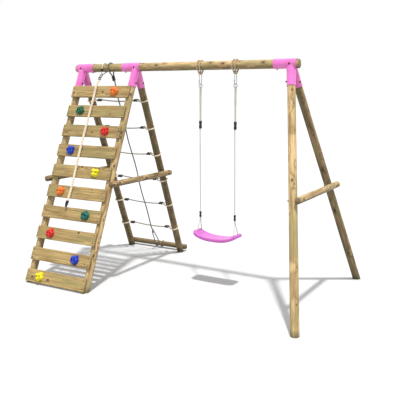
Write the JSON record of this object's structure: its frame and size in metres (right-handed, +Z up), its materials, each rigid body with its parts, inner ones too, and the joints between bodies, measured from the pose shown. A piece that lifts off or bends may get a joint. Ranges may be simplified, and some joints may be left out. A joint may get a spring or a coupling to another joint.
{
  "type": "climbing wall swing frame",
  "caption": "Garden climbing frame: round timber poles carry a board climbing wall with holds, a climbing rope, a rope net behind it, and a swing under one long beam.",
  "frame": {"origin": "on the ground, under the middle of the whole frame's length and under the beam's axis", "axes": "+X along the beam from the climbing bay to the swing, -Y the side that the climbing wall faces, +Z up"},
  "size_m": [2.758, 1.7638, 2.0543],
  "materials": {
    "pole_wood": "planed round pine poles, pressure-treated, with knots",
    "board_wood": "sawn pine boards, pressure-treated",
    "bracket_pink": "pink powder coat",
    "seat_pink": "moulded pink polyethylene",
    "hold_orange": "moulded, fine grit texture",
    "hold_green": "moulded, fine grit texture",
    "hold_teal": "moulded, fine grit texture",
    "hold_red": "moulded, fine grit texture",
    "hold_blue": "moulded, fine grit texture",
    "hold_yellow": "moulded, fine grit texture",
    "rope_cream": "laid synthetic rope",
    "rope_grey": "laid synthetic rope",
    "steel": "zinc-plated steel",
    "black_steel": "black plated bolts with caps",
    "black_plastic": "black moulded nylon"
  },
  "bodies": {
    "frame": {"top_beam": "pole_wood", "bracket_left": "bracket_pink", "bracket_middle": "bracket_pink", "bracket_right": "bracket_pink", "wall_leg_left": "pole_wood", "wall_leg_right": "pole_wood", "net_leg_left": "pole_wood", "net_leg_right": "pole_wood", "end_leg_front": "pole_wood", "end_leg_rear": "pole_wood", "cross_pole_left": "pole_wood", "cross_pole_middle": "pole_wood", "cross_pole_right": "pole_wood", "foot_pole": "pole_wood", "climb_board_01": "board_wood", "climb_board_02": "board_wood", "climb_board_03": "board_wood", "climb_board_04": "board_wood", "climb_board_05": "board_wood", "climb_board_06": "board_wood", "climb_board_07": "board_wood", "climb_board_08": "board_wood", "climb_board_09": "board_wood", "climb_board_10": "board_wood", "hold_01": "hold_orange", "hold_02": "hold_green", "hold_03": "hold_red", "hold_04": "hold_blue", "hold_05": "hold_yellow", "hold_06": "hold_orange", "hold_07": "hold_teal", "hold_08": "hold_red", "hold_09": "hold_blue", "hold_10": "hold_yellow", "hold_bolts": "black_steel", "board_screws": "black_steel", "frame_bolts": "black_steel", "nuts": "black_steel", "net_rung_1": "rope_cream", "net_rung_2": "rope_cream", "net_rung_3": "rope_cream", "net_rung_4": "rope_cream", "net_rung_5": "rope_cream", "net_rung_6": "rope_cream", "net_spine": "rope_grey", "rope_clamps": "black_plastic", "rope_slings": "rope_cream", "climb_hook": "black_steel"},
    "climbing_rope": {"climb_rope_eye": "rope_cream", "climb_rope": "rope_cream", "climb_rope_end": "black_plastic"},
    "swing": {"swing_hooks": "steel", "swing_rings": "steel", "swing_rope_left": "rope_cream", "swing_rope_right": "rope_cream", "swing_adjusters": "black_plastic"},
    "gate_left": {"hook_gate_left": "steel"},
    "gate_right": {"hook_gate_right": "steel"},
    "seat": {"seat_strands": "rope_cream", "swing_seat": "seat_pink"}
  },
  "joints": [
    {"name": "swing_hinge", "type": "hinge", "parent": "frame", "child": "swing", "pos_m": [0.26835, 0, 1.924], "axis": [1, 0, 0], "range_deg": [-60, 60]},
    {"name": "seat_tilt", "type": "hinge", "parent": "swing", "child": "seat", "pos_m": [0.26835, 0, 0.6], "axis": [1, 0, 0], "range_deg": [-20, 20]},
    {"name": "gate_left_hinge", "type": "hinge", "parent": "swing", "child": "gate_left", "pos_m": [0.09035, -0.02, 1.862], "axis": [-1, 0, 0], "range_deg": [0, 30], "stiffness_Nm_per_rad": 0.03, "springref_deg": -17.19},
    {"name": "gate_right_hinge", "type": "hinge", "parent": "swing", "child": "gate_right", "pos_m": [0.44635, -0.02, 1.862], "axis": [-1, 0, 0], "range_deg": [0, 30], "stiffness_Nm_per_rad": 0.03, "springref_deg": -17.19},
    {"name": "climbing_rope_hinge", "type": "hinge", "parent": "frame", "child": "climbing_rope", "pos_m": [-1.00465, -0.08279, 1.90133], "axis": [-1, 0, 0], "range_deg": [0, 50]}
  ]
}
